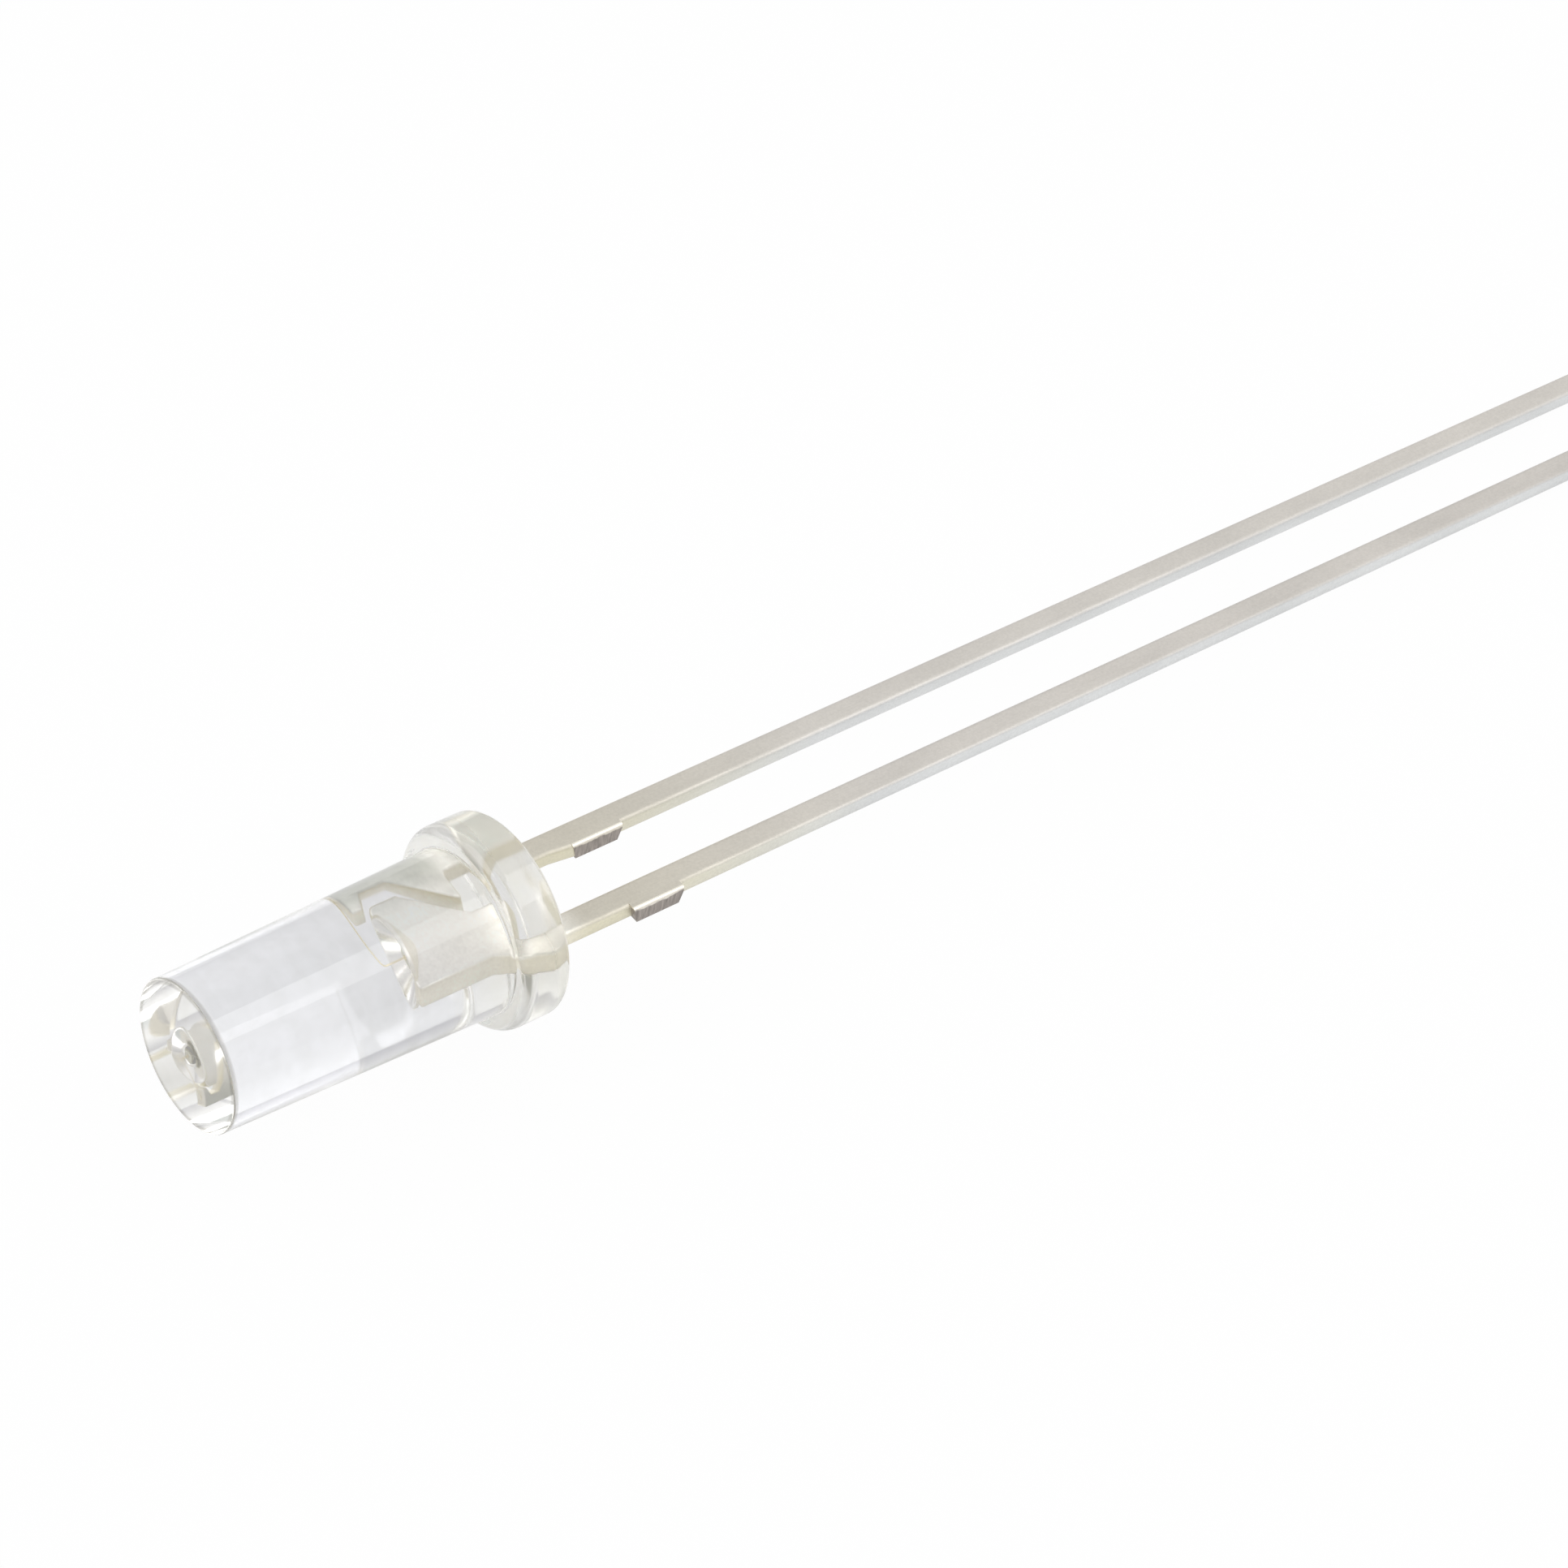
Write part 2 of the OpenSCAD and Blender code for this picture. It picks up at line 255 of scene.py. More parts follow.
def rest_turn():
    """Turns the lamp's own axes (x along the leads, y towards the anode) to how it rests."""
    mounts = {mount["name"]: mount for mount in frame["record"]["mounts"]}
    along = Vector(mounts["seating_face"]["axis"]).normalized()
    across = Vector(mounts["anode_lead_end"]["pos_m"]) - Vector(mounts["cathode_lead_end"]["pos_m"])
    across = (across - across.dot(along) * along).normalized()
    return Matrix((along, across, along.cross(across))).transposed().to_4x4()


def started(name):
    """Names the primitive that was just added and opens it for editing."""
    piece = bpy.context.active_object
    piece.name = piece.data.name = name
    bpy.ops.object.mode_set(mode="EDIT")
    return piece


def alone(piece):
    """Leaves edit mode with only this piece selected."""
    if bpy.context.mode != "OBJECT":
        bpy.ops.object.mode_set(mode="OBJECT")
    bpy.ops.object.select_all(action="DESELECT")
    piece.select_set(True)
    bpy.context.view_layer.objects.active = piece


def place(piece, turn):
    """Applies a turn to the piece's mesh."""
    alone(piece)
    piece.matrix_world = turn @ piece.matrix_world
    bpy.ops.object.transform_apply(location=True, rotation=True, scale=True)


def apply(piece, kind, **settings):
    """Adds a modifier with its settings and applies it."""
    alone(piece)
    modifier = piece.modifiers.new(kind.title(), kind)
    for key, value in settings.items():
        setattr(modifier, key, value)
    bpy.ops.object.modifier_apply(modifier=modifier.name)


def outward():
    """Turns every face of the piece in edit mode outwards."""
    bpy.ops.mesh.select_all(action="SELECT")
    bpy.ops.mesh.remove_doubles(threshold=1e-7)
    bpy.ops.mesh.normals_make_consistent(inside=False)


def turned(name, profile, sides):
    """A solid turned about the lamp's axis, from [radius, height above the seat], lowest first."""
    bpy.ops.object.select_all(action="DESELECT")
    radius, height = profile[0]
    bpy.ops.mesh.primitive_circle_add(
        vertices=sides, radius=radius, fill_type="NGON", location=(0, 0, height)
    )
    piece = started(name)
    for next_radius, next_height in profile[1:]:
        rise, grow = next_height - height, next_radius / radius
        bpy.ops.mesh.extrude_region_move(TRANSFORM_OT_translate={"value": (0, 0, rise)})
        bpy.ops.transform.resize(value=(grow, grow, 1), center_override=(0, 0, next_height))
        radius, height = next_radius, next_height
    outward()
    place(piece, Matrix.Rotation(-math.pi / 2, 4, "Y"))
    return piece


def arc(centre, radius, start, stop, steps=ARC_STEPS):
    """Points on an arc, with angles in degrees."""
    angles = [math.radians(start + (stop - start) * i / steps) for i in range(steps + 1)]
    return [(centre[0] + radius * math.cos(a), centre[1] + radius * math.sin(a)) for a in angles]


def corner_arc(before, corner, after, radius):
    """Rounds a corner of an outline, between its neighbours."""
    before, corner, after = Vector(before), Vector(corner), Vector(after)
    u, v = (before - corner).normalized(), (after - corner).normalized()
    half = u.angle(v) / 2
    middle = corner + (u + v).normalized() * radius / math.sin(half)
    first = corner + u * radius / math.tan(half) - middle
    last = corner + v * radius / math.tan(half) - middle
    step = -first.angle_signed(last) / CORNER_STEPS
    return [middle + Matrix.Rotation(i * step, 2) @ first for i in range(CORNER_STEPS + 1)]


def rounded(points):
    """An outline from [x, y, corner radius] points."""
    outline = []
    for i, (x, y, radius) in enumerate(points):
        before, after = points[i - 1][:2], points[(i + 1) % len(points)][:2]
        outline += corner_arc(before, (x, y), after, radius) if radius else [Vector((x, y))]
    return outline


def stamped(name, points, thickness):
    """A plate stamped out of the sheet, to an outline of [x, y, corner radius] points."""
    outline = rounded(points)
    bpy.ops.object.select_all(action="DESELECT")
    bpy.ops.mesh.primitive_circle_add(vertices=len(outline), radius=MM, fill_type="NGON")
    piece = started(name)
    cut = bmesh.from_edit_mesh(piece.data)
    for vertex, (x, y) in zip(cut.verts, outline):
        vertex.co = (x, y, -thickness / 2)
    bmesh.update_edit_mesh(piece.data)
    bpy.ops.mesh.extrude_region_move(TRANSFORM_OT_translate={"value": (0, 0, thickness)})
    outward()
    alone(piece)
    return piece


def select(piece, test, mode="FACE"):
    """Selects the faces, edges or vertices of the piece in edit mode that pass the test."""
    bpy.ops.mesh.select_mode(type=mode)
    bpy.ops.mesh.select_all(action="DESELECT")
    cut = bmesh.from_edit_mesh(piece.data)
    elements = {"FACE": cut.faces, "EDGE": cut.edges, "VERT": cut.verts}[mode]
    for element in elements:
        if test(element):
            element.select_set(True)
    cut.select_flush_mode()
    bmesh.update_edit_mesh(piece.data)


def round_edges(piece, lead):
    """Rounds the edges of a stamped piece: a little inside the lens, more where the tin is."""
    bpy.ops.object.mode_set(mode="EDIT")
    for low, high, radius in ((-lead.anode, 0, lead.inner_edge_r), (0, lead.anode, lead.edge_r)):
        select(piece, lambda e: low < sum(v.co.x for v in e.verts) / 2 < high
               and e.calc_face_angle(0) > EDGE_ANGLE, "EDGE")
        bpy.ops.transform.edge_bevelweight(value=radius / lead.edge_r)
    apply(
        piece, "BEVEL", width=lead.edge_r, segments=EDGE_STEPS,
        limit_method="WEIGHT", use_clamp_overlap=False,
    )


def give_lead_finishes(piece):
    """Gives a piece of the lead frame its plated finish, and the sheared one for its stub."""
    for name in ("plated_steel_sheet", "sheared_steel"):
        piece.data.materials.append(bpy.data.materials[name])


def dam_bar_stub(edge_y, reach, lead):
    """What the shears left of the dam bar on a lead: cut off square, narrower at its lower face,
    with the upper edge of the cut pulled down."""
    root = lead.width / 4
    bpy.ops.object.select_all(action="DESELECT")
    bpy.ops.mesh.primitive_cube_add(size=1)
    stub = started("stub")
    give_lead_finishes(stub)
    size = (lead.stub_len, reach + root, lead.sheet)
    bpy.ops.transform.resize(value=size, center_override=(0, 0, 0))
    select(stub, lambda f: f.normal.z < -FACING)
    narrow = 1 - 2 * lead.stub_slant / lead.stub_len
    bpy.ops.transform.resize(value=(narrow, 1, 1), center_override=(0, 0, 0))
    select(stub, lambda e: all(v.co.z > 0 and v.co.y < 0 for v in e.verts), "EDGE")
    bpy.ops.mesh.bevel(offset=lead.rollover, segments=EDGE_STEPS, affect="EDGES")
    # the shears bared the cut and its pulled-down edge, and the slanted end towards the lens
    select(stub, lambda f: f.normal.y < -0.1 or f.normal.x < -0.7)
    stub.active_material_index = 1
    bpy.ops.object.material_slot_assign()
    bpy.ops.mesh.select_all(action="SELECT")
    middle = (lead.stub_start + lead.stub_len / 2, edge_y + (root - reach) / 2, 0)
    bpy.ops.transform.translate(value=middle)
    alone(stub)
    return stub


def burnish_cup(piece, cup, anvil_h):
    """Gives the inside of the cup the finish that the punch left."""
    bpy.ops.object.mode_set(mode="EDIT")
    select(piece, lambda f: f.calc_center_median().x < cup.depth - anvil_h + HOLD
           and f.calc_center_median().yz.length < cup.rim_r - cup.land + HOLD)
    piece.active_material_index = 2
    bpy.ops.object.material_slot_assign()
    alone(piece)


def finish(piece, angle, replaced):
    """Smooths the piece's corners under an angle, lays it as the lamp rests and ties it to the
    frame."""
    alone(piece)
    bpy.ops.object.shade_smooth_by_angle(angle=math.radians(angle))
    place(piece, rest_turn())
    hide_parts(replaced)
    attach(piece, "root")


# ---------------------------------------------------------------- finishes

MIX_A, MIX_B, MIXED = 6, 7, 2  # the colour sockets of a Mix node
NOISE_SPREAD = {"From Min": 0.3, "From Max": 0.7}  # nearly all of a noise texture's values
# Where a finish starts to change and where it is full. Heights are along x, in millimetres:
# negative inside the lens, 0 at the seat.
CLEAR_TO_HAZY = (-6.5, -4)
# where the painted reflection of the lead frame's warm light yellows the flange:
FLANGE_WARM_REFLECTION = (-1.4, 0.4)
# where the painted shade on the rim around the flat tip lies:
RIM_SHADE_IN = (0.19, 0.13)  # inside the edge of the flat tip
RIM_SHADE_DOWN = (0.13, 0.07)  # below the flat tip
TIN_START = 0.2
TIN_FULL = 0.6  # as a share of the way from the seat to the stubs
TINT_TO_CLEAN = (3, 11)
SPOT_ABOVE = (-1.0, -1.5)
SPOT_SIDE = (1.1, 1.5)  # the silver spot's edge towards the anode, from the axis
# the border below is partly a painted highlight, for the glint on the rounded edge:
RUBBED_GLINT_ABOVE = (0.25, 0.29)  # the rubbed border of a cut, above the middle of the sheet
WARM_REFLECTION_SHIFT, SPOT_SHIFT, RUB_GLINT_SHIFT = 1.6, 0.8, 0.2  # how far noise moves these borders, in mm
# How white the table is by itself for each kind of ray; the parts add up.
TABLE_WHITE = {"Is Camera Ray": 0.97, "Is Glossy Ray": 0.6, "Is Transmission Ray": -0.2}


def between(marks, start=0):
    """A Map Range's input range, from marks in millimetres past a start in metres."""
    return {"From Min": start + marks[0] * MM, "From Max": start + marks[1] * MM}


def add_node(tree, kind, inputs=None, **settings):
    """Adds a node with its settings. An input is a value, an output to link, or a node, whose
    first output is then linked."""
    node = tree.nodes.new(kind)
    for key, value in settings.items():
        setattr(node, key, value)
    for key, value in (inputs or {}).items():
        if isinstance(value, bpy.types.Node):
            value = value.outputs[0]
        if isinstance(value, bpy.types.NodeSocket):
            tree.links.new(value, node.inputs[key])
        else:
            node.inputs[key].default_value = value
    return node


def new_material(name):
    material = bpy.data.materials.new(name)
    material.use_nodes = True
    material.node_tree.nodes.clear()
    return material, material.node_tree


def lamp_coordinates(tree, stretch=(1, 1, 1)):
    """Object coordinates turned to the lamp's own axes and stretched along them."""
    own = add_node(tree, "ShaderNodeTexCoord")
    turn = add_node(tree, "ShaderNodeMapping", {
        "Vector": own.outputs["Object"], "Rotation": rest_turn().to_euler(),
    }, vector_type="TEXTURE")
    return add_node(tree, "ShaderNodeMapping", {"Vector": turn, "Scale": stretch})


def per_metre(mm):
    """Texture scale for a pattern whose features are this many millimetres apart."""
    return 1 / (mm * MM)


def cast_epoxy(colours, lens):
    """Clear epoxy cast in a polished mould: barely wavy from shrinkage, clearest by the tip, with
    a faint haze and cloudy patches further down. Painted into its colour are a faint yellow in the
    flange, a painted reflection of warm light from the lead frame, and painted shade on the rim
    around the flat tip, for the dark outline that the rounded edge shows."""
    material, tree = new_material("clear_cast_epoxy")
    waves = add_node(tree, "ShaderNodeTexNoise", {
        "Vector": lamp_coordinates(tree), "Scale": per_metre(1.6), "Detail": 1.0,
    })
    skin = add_node(tree, "ShaderNodeBump", {
        "Height": waves, "Strength": 0.12, "Distance": 0.02 * MM,
    })
    haze = add_node(tree, "ShaderNodeTexNoise", {
        "Vector": lamp_coordinates(tree), "Scale": per_metre(0.5), "Detail": 4.0,
    })
    hazy = add_node(tree, "ShaderNodeMapRange", {
        "Value": haze, **NOISE_SPREAD, "To Min": 0.03, "To Max": 0.10,
    })
    x = add_node(tree, "ShaderNodeSeparateXYZ", {"Vector": lamp_coordinates(tree)})
    beside = add_node(tree, "ShaderNodeMapRange", {
        "Value": x.outputs["X"], **between(CLEAR_TO_HAZY),
    }, interpolation_type="SMOOTHSTEP")
    rough = add_node(tree, "ShaderNodeMath", {
        0: beside, 1: hazy, 2: 0.03,
    }, operation="MULTIPLY_ADD")
    cloudy = add_node(tree, "ShaderNodeMix", {
        "Factor": add_node(tree, "ShaderNodeMapRange", {
            "Value": haze, "From Min": 0.35, "From Max": 0.65,
        }),
        MIX_A: colours.epoxy, MIX_B: colours.cloudy_epoxy,
    }, data_type="RGBA")
    across = add_node(tree, "ShaderNodeVectorMath", {
        0: lamp_coordinates(tree, (0, 1, 1)),
    }, operation="LENGTH")
    outside = add_node(tree, "ShaderNodeMapRange", {
        "Value": across.outputs["Value"],
        "From Min": lens.tip_d / 2 - RIM_SHADE_IN[0] * MM,
        "From Max": lens.tip_d / 2 - RIM_SHADE_IN[1] * MM,
    })
    at_tip = add_node(tree, "ShaderNodeMapRange", {
        "Value": x.outputs["X"], **between(RIM_SHADE_DOWN, -lens.height),
    })
    # painted shade: a grey ring on the rim around the flat tip, for the dark outline of the rounded
    # edge
    rim_shaded = add_node(tree, "ShaderNodeMix", {
        "Factor": add_node(tree, "ShaderNodeMath", {0: outside, 1: at_tip}, operation="MULTIPLY"),
        MIX_A: cloudy.outputs[MIXED], MIX_B: colours.rim_painted_shade,
    }, data_type="RGBA")
    # painted reflection: the flange turns faintly yellow, for warm light reflected from the lead
    # frame
    yellowed = add_node(tree, "ShaderNodeMapRange", {
        "Value": add_node(tree, "ShaderNodeMath", {
            0: haze, 1: WARM_REFLECTION_SHIFT * MM, 2: x.outputs["X"],
        }, operation="MULTIPLY_ADD"),
        **between(FLANGE_WARM_REFLECTION),
    }, interpolation_type="SMOOTHSTEP")
    tinted = add_node(tree, "ShaderNodeMix", {
        "Factor": yellowed, MIX_A: rim_shaded.outputs[MIXED], MIX_B: colours.flange_warm_reflection,
    }, data_type="RGBA")
    shader = add_node(tree, "ShaderNodeBsdfPrincipled", {
        "Base Color": tinted.outputs[MIXED], "Roughness": rough, "IOR": 1.53,
        "Transmission Weight": 1.0, "Normal": skin,
    })
    add_node(tree, "ShaderNodeOutputMaterial", {"Surface": shader})
    return material


def plated_sheet(colours, edge):
    """Steel sheet. Inside the lens it is silver plated: bright around the cup, duller on the
    post, warmer on the stamped sides. The leads are tin dipped: satin, faintly grained, and
    yellower where they leave the lens. The sides have colours of their own, painted lighter than
    the tin and the dull plate on the flat faces: painted light, for how the light falls on them."""
    material, tree = new_material("plated_steel_sheet")
    at = lamp_coordinates(tree)
    x = add_node(tree, "ShaderNodeSeparateXYZ", {"Vector": at})
    dipped = add_node(tree, "ShaderNodeMapRange", {
        "Value": x.outputs["X"], "From Min": TIN_START * MM, "From Max": edge,
    }, interpolation_type="SMOOTHSTEP")
    grain = add_node(tree, "ShaderNodeTexNoise", {
        "Vector": lamp_coordinates(tree, (0.04, 1, 1)), "Scale": per_metre(0.05), "Detail": 3.0,
    })
    blotch = add_node(tree, "ShaderNodeTexNoise", {
        "Vector": lamp_coordinates(tree, (0.35, 1, 1)), "Scale": per_metre(1.2), "Detail": 4.0,
    })
    facing = add_node(tree, "ShaderNodeSeparateXYZ", {
        "Vector": add_node(tree, "ShaderNodeTexCoord").outputs["Normal"],
    })
    level = add_node(tree, "ShaderNodeMath", {0: facing.outputs["Z"]}, operation="ABSOLUTE")
    # painted light: this mask gives the sides of the sheet lighter colours than its flat faces
    flat = add_node(tree, "ShaderNodeMapRange", {"Value": level, "From Min": 0.3, "From Max": 0.95})
    beside = add_node(tree, "ShaderNodeMath", {
        0: blotch, 1: SPOT_SHIFT * MM, 2: x.outputs["Y"],
    }, operation="MULTIPLY_ADD")
    spotless = add_node(tree, "ShaderNodeMapRange", {"Value": beside, **between(SPOT_SIDE)})
    above = add_node(tree, "ShaderNodeMapRange", {"Value": x.outputs["X"], **between(SPOT_ABOVE)})
    spot = add_node(tree, "ShaderNodeMix", {
        "Factor": add_node(tree, "ShaderNodeMath", {0: spotless, 1: above}, operation="MULTIPLY"),
        MIX_A: colours.bright_plate, MIX_B: colours.dull_plate,
    }, data_type="RGBA")
    silver = add_node(tree, "ShaderNodeMix", {
        "Factor": flat, MIX_A: colours.cut_plate_lit, MIX_B: spot.outputs[MIXED],
    }, data_type="RGBA")
    tinted = add_node(tree, "ShaderNodeMix", {
        "Factor": flat, MIX_A: colours.plate_side_lit, MIX_B: colours.plate,
    }, data_type="RGBA")
    clean = add_node(tree, "ShaderNodeMix", {
        "Factor": flat, MIX_A: colours.tin_side_lit, MIX_B: colours.tin,
    }, data_type="RGBA")
    tin = add_node(tree, "ShaderNodeMix", {
        "Factor": add_node(tree, "ShaderNodeMapRange", {
            "Value": x.outputs["X"], **between(TINT_TO_CLEAN),
        }),
        MIX_A: tinted.outputs[MIXED], MIX_B: clean.outputs[MIXED],
    }, data_type="RGBA")
    plate = add_node(tree, "ShaderNodeMix", {
        "Factor": dipped, MIX_A: silver.outputs[MIXED], MIX_B: tin.outputs[MIXED],
    }, data_type="RGBA")
    speckle = add_node(tree, "ShaderNodeTexNoise", {
        "Vector": at, "Scale": per_metre(0.07), "Detail": 2.0,
    })
    patchy = add_node(tree, "ShaderNodeMapRange", {
        "Value": blotch, **NOISE_SPREAD, "To Min": 0.95, "To Max": 1.04,
    })
    grainy = add_node(tree, "ShaderNodeMapRange", {
        "Value": speckle, **NOISE_SPREAD, "To Min": 0.96, "To Max": 1.04,
    })
    toned = add_node(tree, "ShaderNodeHueSaturation", {
        "Color": plate.outputs[MIXED],
        "Value": add_node(tree, "ShaderNodeMath", {0: patchy, 1: grainy}, operation="MULTIPLY"),
    })
    rolled = add_node(tree, "ShaderNodeMapRange", {
        "Value": grain, **NOISE_SPREAD, "To Min": 0.42, "To Max": 0.54,
    })
    rough = add_node(tree, "ShaderNodeMath", {
        0: dipped, 1: 0.06, 2: rolled,
    }, operation="MULTIPLY_ADD")
    height = add_node(tree, "ShaderNodeMath", {
        0: dipped, 1: speckle, 2: grain,
    }, operation="MULTIPLY_ADD")
    bump = add_node(tree, "ShaderNodeBump", {
        "Height": height, "Strength": 0.3, "Distance": 0.003 * MM,
    })
    shader = add_node(tree, "ShaderNodeBsdfPrincipled", {
        "Base Color": toned, "Metallic": 1.0, "Roughness": rough, "Normal": bump,
    })
    add_node(tree, "ShaderNodeOutputMaterial", {"Surface": shader})
    return material


def coined_silver(colours):
    """Silver plate in the cup, burnished by the punch that pressed it, with faint turning rings."""
    material, tree = new_material("coined_silver")
    rings = add_node(tree, "ShaderNodeTexNoise", {
        "Vector": lamp_coordinates(tree, (1, 0.2, 0.2)), "Scale": per_metre(0.03), "Detail": 2.0,
    })
    rough = add_node(tree, "ShaderNodeMapRange", {
        "Value": rings, **NOISE_SPREAD, "To Min": 0.14, "To Max": 0.24,
    })
    shader = add_node(tree, "ShaderNodeBsdfPrincipled", {
        "Base Color": colours.coined, "Metallic": 1.0, "Roughness": rough,
    })
    add_node(tree, "ShaderNodeOutputMaterial", {"Surface": shader})
    return material


def sheared_steel(colours):
    """Steel torn by the shears that cut the dam bar: dull and darker, scored across the sheet,
    with a bright, ragged border at the top where the tin was pulled down and rubbed smooth; that
    border is also painted near white for the glint on the rounded edge, a painted highlight."""
    material, tree = new_material("sheared_steel")
    at = lamp_coordinates(tree)
    scores = add_node(tree, "ShaderNodeTexNoise", {
        "Vector": lamp_coordinates(tree, (1, 1, 0.15)), "Scale": per_metre(0.06), "Detail": 5.0,
    })
    ragged = add_node(tree, "ShaderNodeTexNoise", {
        "Vector": at, "Scale": per_metre(0.4), "Detail": 5.0,
    })
    height = add_node(tree, "ShaderNodeMath", {
        0: ragged, 1: RUB_GLINT_SHIFT * MM,
        2: add_node(tree, "ShaderNodeSeparateXYZ", {"Vector": at}).outputs["Z"],
    }, operation="MULTIPLY_ADD")
    # partly painted highlight: the rubbed border, painted near white for the glint on the rounded
    # edge
    rubbed = add_node(tree, "ShaderNodeMapRange", {"Value": height, **between(RUBBED_GLINT_ABOVE)})
    torn = add_node(tree, "ShaderNodeHueSaturation", {
        "Color": colours.sheared,
        "Value": add_node(tree, "ShaderNodeMapRange", {
            "Value": scores, **NOISE_SPREAD, "To Min": 0.65, "To Max": 1.15,
        }),
    })
    tone = add_node(tree, "ShaderNodeMix", {
        "Factor": rubbed, MIX_A: torn, MIX_B: colours.rubbed,
    }, data_type="RGBA")
    rough = add_node(tree, "ShaderNodeMapRange", {"Value": rubbed, "To Min": 0.55, "To Max": 0.38})
    depth = add_node(tree, "ShaderNodeMapRange", {"Value": rubbed, "To Min": 0.8, "To Max": 0.1})
    bump = add_node(tree, "ShaderNodeBump", {
        "Height": scores, "Strength": depth, "Distance": 0.02 * MM,
    })
    shader = add_node(tree, "ShaderNodeBsdfPrincipled", {
        "Base Color": tone.outputs[MIXED], "Metallic": 0.9, "Roughness": rough, "Normal": bump,
    })
    add_node(tree, "ShaderNodeOutputMaterial", {"Surface": shader})
    return material


def sawn_crystal(colours):
    """Sawn semiconductor crystal: pale, half glossy, with faint saw marks on its sides."""
    material, tree = new_material("sawn_crystal")
    marks = add_node(tree, "ShaderNodeTexNoise", {
        "Vector": lamp_coordinates(tree, (0.2, 1, 1)), "Scale": per_metre(0.02), "Detail": 2.0,
    })
    bump = add_node(tree, "ShaderNodeBump", {
        "Height": marks, "Strength": 0.3, "Distance": 0.002 * MM,
    })
    shader = add_node(tree, "ShaderNodeBsdfPrincipled", {
        "Base Color": colours.chip, "Roughness": 0.4, "IOR": 1.8, "Normal": bump,
    })
    add_node(tree, "ShaderNodeOutputMaterial", {"Surface": shader})
    return material


def silver_paste(colours):
    """Cured silver-filled paste: pale grey with a grainy, broken sheen."""
    material, tree = new_material("silver_filled_paste")
    flakes = add_node(tree, "ShaderNodeTexNoise", {
        "Vector": lamp_coordinates(tree), "Scale": per_metre(0.02), "Detail": 4.0,
    })
    bump = add_node(tree, "ShaderNodeBump", {
        "Height": flakes, "Strength": 0.5, "Distance": 0.004 * MM,
    })
    shader = add_node(tree, "ShaderNodeBsdfPrincipled", {
        "Base Color": colours.paste, "Metallic": 0.6, "Roughness": 0.5, "Normal": bump,
    })
    add_node(tree, "ShaderNodeOutputMaterial", {"Surface": shader})
    return material


def drawn_gold(colours):
    """Fine gold wire, drawn smooth."""
    material, tree = new_material("drawn_gold")
    lines = add_node(tree, "ShaderNodeTexNoise", {
        "Vector": lamp_coordinates(tree), "Scale": per_metre(0.01), "Detail": 1.0,
    })
    rough = add_node(tree, "ShaderNodeMapRange", {
        "Value": lines, **NOISE_SPREAD, "To Min": 0.15, "To Max": 0.3,
    })
    shader = add_node(tree, "ShaderNodeBsdfPrincipled", {
        "Base Color": colours.gold, "Metallic": 1.0, "Roughness": rough,
    })
    add_node(tree, "ShaderNodeOutputMaterial", {"Surface": shader})
    return material


def pale_table(colours):
    """Matt white laminate. The camera sees it nearly white, and the lamp's shadow stays on it.
    A reflection finds it partly white; a look through the lens less so, because Cycles counts
    such a ray as a glossy one as well."""
    material, tree = new_material("matt_white_laminate")
    own = add_node(tree, "ShaderNodeTexCoord")
    speckle = add_node(tree, "ShaderNodeTexNoise", {
        "Vector": own.outputs["Object"], "Scale": per_metre(4), "Detail": 3.0,
    })
    rough = add_node(tree, "ShaderNodeMapRange", {"Value": speckle, "To Min": 0.7, "To Max": 0.8})
    lit = add_node(tree, "ShaderNodeBsdfPrincipled", {
        "Base Color": colours.table, "Roughness": rough, "Specular IOR Level": 0.2,
    })
    white = add_node(tree, "ShaderNodeEmission", {"Color": (1, 1, 1, 1), "Strength": 1.0})
    path = add_node(tree, "ShaderNodeLightPath")
    share = 0.0
    for ray, part in TABLE_WHITE.items():
        share = add_node(tree, "ShaderNodeMath", {
            0: path.outputs[ray], 1: part, 2: share,
        }, operation="MULTIPLY_ADD")
    mixed = add_node(tree, "ShaderNodeMixShader", {"Fac": share, 1: lit, 2: white})
    add_node(tree, "ShaderNodeOutputMaterial", {"Surface": mixed})
    return material


# ---------------------------------------------------------------- pieces

def lens_profile(s):
    """Half the lens's outline, as [radius, height above the seat], from the seat up."""
    flange_r, root_r, tip_r = s.flange_d / 2, s.root_d / 2, s.tip_d / 2
    seat = [(flange_r - s.back_r - HOLD, 0)]
    back = arc((flange_r - s.back_r, s.back_r), s.back_r, -90, 0)
    front = arc((flange_r - s.front_r, s.flange_t - s.front_r), s.front_r, 0, 90)
    rim = [(flange_r, s.back_r + HOLD), (flange_r, s.flange_t - s.front_r - HOLD)]
    step = [(flange_r - s.front_r - HOLD, s.flange_t), (root_r + s.root_fillet + HOLD, s.flange_t)]
    fillet = arc((root_r + s.root_fillet, s.flange_t + s.root_fillet), s.root_fillet, -90, -180)
    barrel = [
        (root_r - HOLD * BARREL_TAPER, s.flange_t + s.root_fillet + HOLD),
        (tip_r, s.height - s.tip_r - HOLD),
    ]
    tip = arc((tip_r - s.tip_r, s.height - s.tip_r), s.tip_r, 0, 90)
    top = [(tip_r - s.tip_r - HOLD, s.height)]
    return seat + back + rim + front + step + fillet + barrel + tip + top


